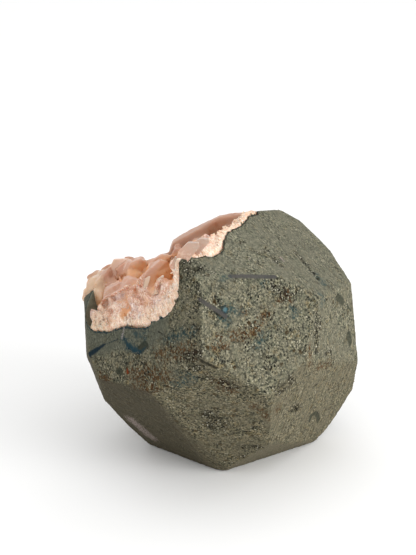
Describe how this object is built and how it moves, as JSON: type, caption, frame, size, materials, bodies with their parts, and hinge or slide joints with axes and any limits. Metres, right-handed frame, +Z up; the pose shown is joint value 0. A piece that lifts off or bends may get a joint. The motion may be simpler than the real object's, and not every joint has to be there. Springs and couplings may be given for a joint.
{
  "type": "heulandite geode",
  "caption": "Saw-trimmed basalt nodule with a broken-open hollow lined with one crust of peach-pink heulandite crystal blades.",
  "frame": {"origin": "On the surface that the nodule rests on, under the middle of its bounding box.", "axes": "+Z is up as it rests. -Y is the front, where the large sawn flats are; the hollow opens up and to the left, and -X is left."},
  "size_m": [0.1071, 0.1064, 0.0966],
  "materials": {
    "basalt": "fine-grained grey-green basalt, sawn and slightly worn, matt, with rust-brown and teal stains",
    "heulandite": "translucent peach-pink crystal blades with a pearly to glassy shine on their flat faces"
  },
  "bodies": {
    "root": {"basalt_nodule": "basalt", "heulandite_crust": "heulandite"}
  },
  "joints": []
}
